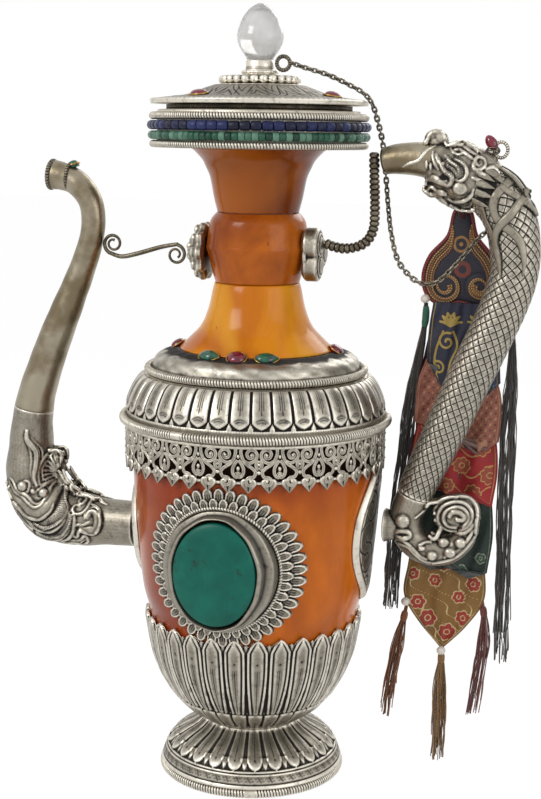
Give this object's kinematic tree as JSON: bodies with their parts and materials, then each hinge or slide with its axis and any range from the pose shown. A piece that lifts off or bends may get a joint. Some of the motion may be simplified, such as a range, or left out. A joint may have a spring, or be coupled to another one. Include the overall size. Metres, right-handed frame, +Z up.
{
  "type": "ritual kettle",
  "caption": "Silver and amber ritual ewer with a lidded neck, lotus foot, turquoise medallion, animal-head spout, dragon handle and hanging brocade pendant.",
  "frame": {"origin": "centre of the foot, on the surface that the kettle stands on", "axes": "+Z up; -X towards the spout, +X towards the handle; -Y towards the turquoise medallion"},
  "size_m": [0.2709, 0.1393, 0.3797],
  "materials": {
    "silver": "aged silver with dark recesses, worn bright on the high parts",
    "dark_silver": "tarnished silver, nearly black",
    "amber": "polished amber with darker streaks",
    "turquoise_stone": "polished turquoise with brown veins",
    "turquoise_beads": "small turquoise discs of mixed green",
    "lapis_beads": "small deep blue discs",
    "ruby": "polished red cabochon",
    "emerald": "polished green cabochon",
    "quartz": "milky polished quartz",
    "cap_brocade": "navy silk with gold cord and red piping",
    "panel_brocade": "woven brocade in bands of colour",
    "dark_thread": "loose silk strands, black and brown",
    "gold_thread": "loose silk strands, rust and gold"
  },
  "bodies": {
    "root": {"foot_rope_ring": "silver", "foot_pedestal": "silver", "lotus_cup": "silver", "gallery_band": "silver", "gallery_rope_ring": "silver", "shoulder_dome": "silver", "shoulder_rope_ring": "silver", "shoulder_collar": "silver", "mouth_rope_ring_lower": "silver", "mouth_rope_ring_upper": "silver", "neck_medallion_left": "silver", "neck_medallion_right": "silver", "spout_brace": "silver", "bead_strut": "silver", "spout_root_plaque": "silver", "spout_makara_head": "silver", "spout_tube": "silver", "spout_lip_ring": "silver", "handle_root_plaque": "silver", "tail_scroll": "silver", "dragon_body": "silver", "dragon_head": "silver", "handle_snout_tube": "silver", "crown_ring": "silver", "mane_straps": "silver", "medallion_plate": "silver", "medallion_rope_ring": "silver", "medallion_bezel": "silver", "lid_chain": "silver", "base_plate": "dark_silver", "mouth_drum": "dark_silver", "belly_shell": "amber", "neck_flare": "amber", "neck_bead": "amber", "neck_trumpet": "amber", "turquoise_cabochon": "turquoise_stone", "turquoise_bead_ring": "turquoise_beads", "lapis_bead_ring": "lapis_beads", "ruby_front": "ruby", "ruby_left": "ruby", "ruby_right": "ruby", "crown_stone": "ruby", "emerald_front_left": "emerald", "emerald_front_right": "emerald", "spout_stone": "emerald"},
    "lid": {"lid_plate": "silver", "lid_sleeve": "dark_silver", "lid_fluted_ring": "silver", "finial_socket": "silver", "finial_crystal": "quartz", "lid_ruby_left": "ruby", "lid_ruby_right": "ruby", "lid_chain_ring": "silver"},
    "pendant": {"brocade_cap": "cap_brocade", "brocade_panels": "panel_brocade"},
    "tassel_upper_left_body": {"tassel_upper_left": "dark_thread"},
    "tassel_upper_right_body": {"tassel_upper_right": "dark_thread"},
    "tassel_lower_left_body": {"tassel_lower_left": "gold_thread"},
    "tassel_centre_body": {"tassel_centre": "gold_thread"},
    "tassel_lower_right_body": {"tassel_lower_right": "gold_thread"}
  },
  "joints": [
    {"name": "lid_lift", "type": "slide", "parent": "root", "child": "lid", "axis": [0, 0, 1], "range_m": [0, 0.06], "deforming": ["lid_chain"]},
    {"name": "pendant_swing", "type": "hinge", "parent": "root", "child": "pendant", "pos_m": [0.097, 0.0165, 0.293], "axis": [1, 0, 0], "range_deg": [0, 40]},
    {"name": "tassel_upper_left_swing", "type": "hinge", "parent": "pendant", "child": "tassel_upper_left_body", "pos_m": [0.0795, 0.0165, 0.2355], "axis": [1, 0, 0], "range_deg": [0, 30]},
    {"name": "tassel_upper_right_swing", "type": "hinge", "parent": "pendant", "child": "tassel_upper_right_body", "pos_m": [0.1145, 0.0165, 0.2395], "axis": [1, 0, 0], "range_deg": [0, 30]},
    {"name": "tassel_lower_left_swing", "type": "hinge", "parent": "pendant", "child": "tassel_lower_left_body", "pos_m": [0.0732, 0.0165, 0.0866], "axis": [1, 0, 0], "range_deg": [-30, 30]},
    {"name": "tassel_centre_swing", "type": "hinge", "parent": "pendant", "child": "tassel_centre_body", "pos_m": [0.0938, 0.0165, 0.0654], "axis": [1, 0, 0], "range_deg": [-30, 30]},
    {"name": "tassel_lower_right_swing", "type": "hinge", "parent": "pendant", "child": "tassel_lower_right_body", "pos_m": [0.1154, 0.0165, 0.088], "axis": [1, 0, 0], "range_deg": [-30, 30]}
  ]
}
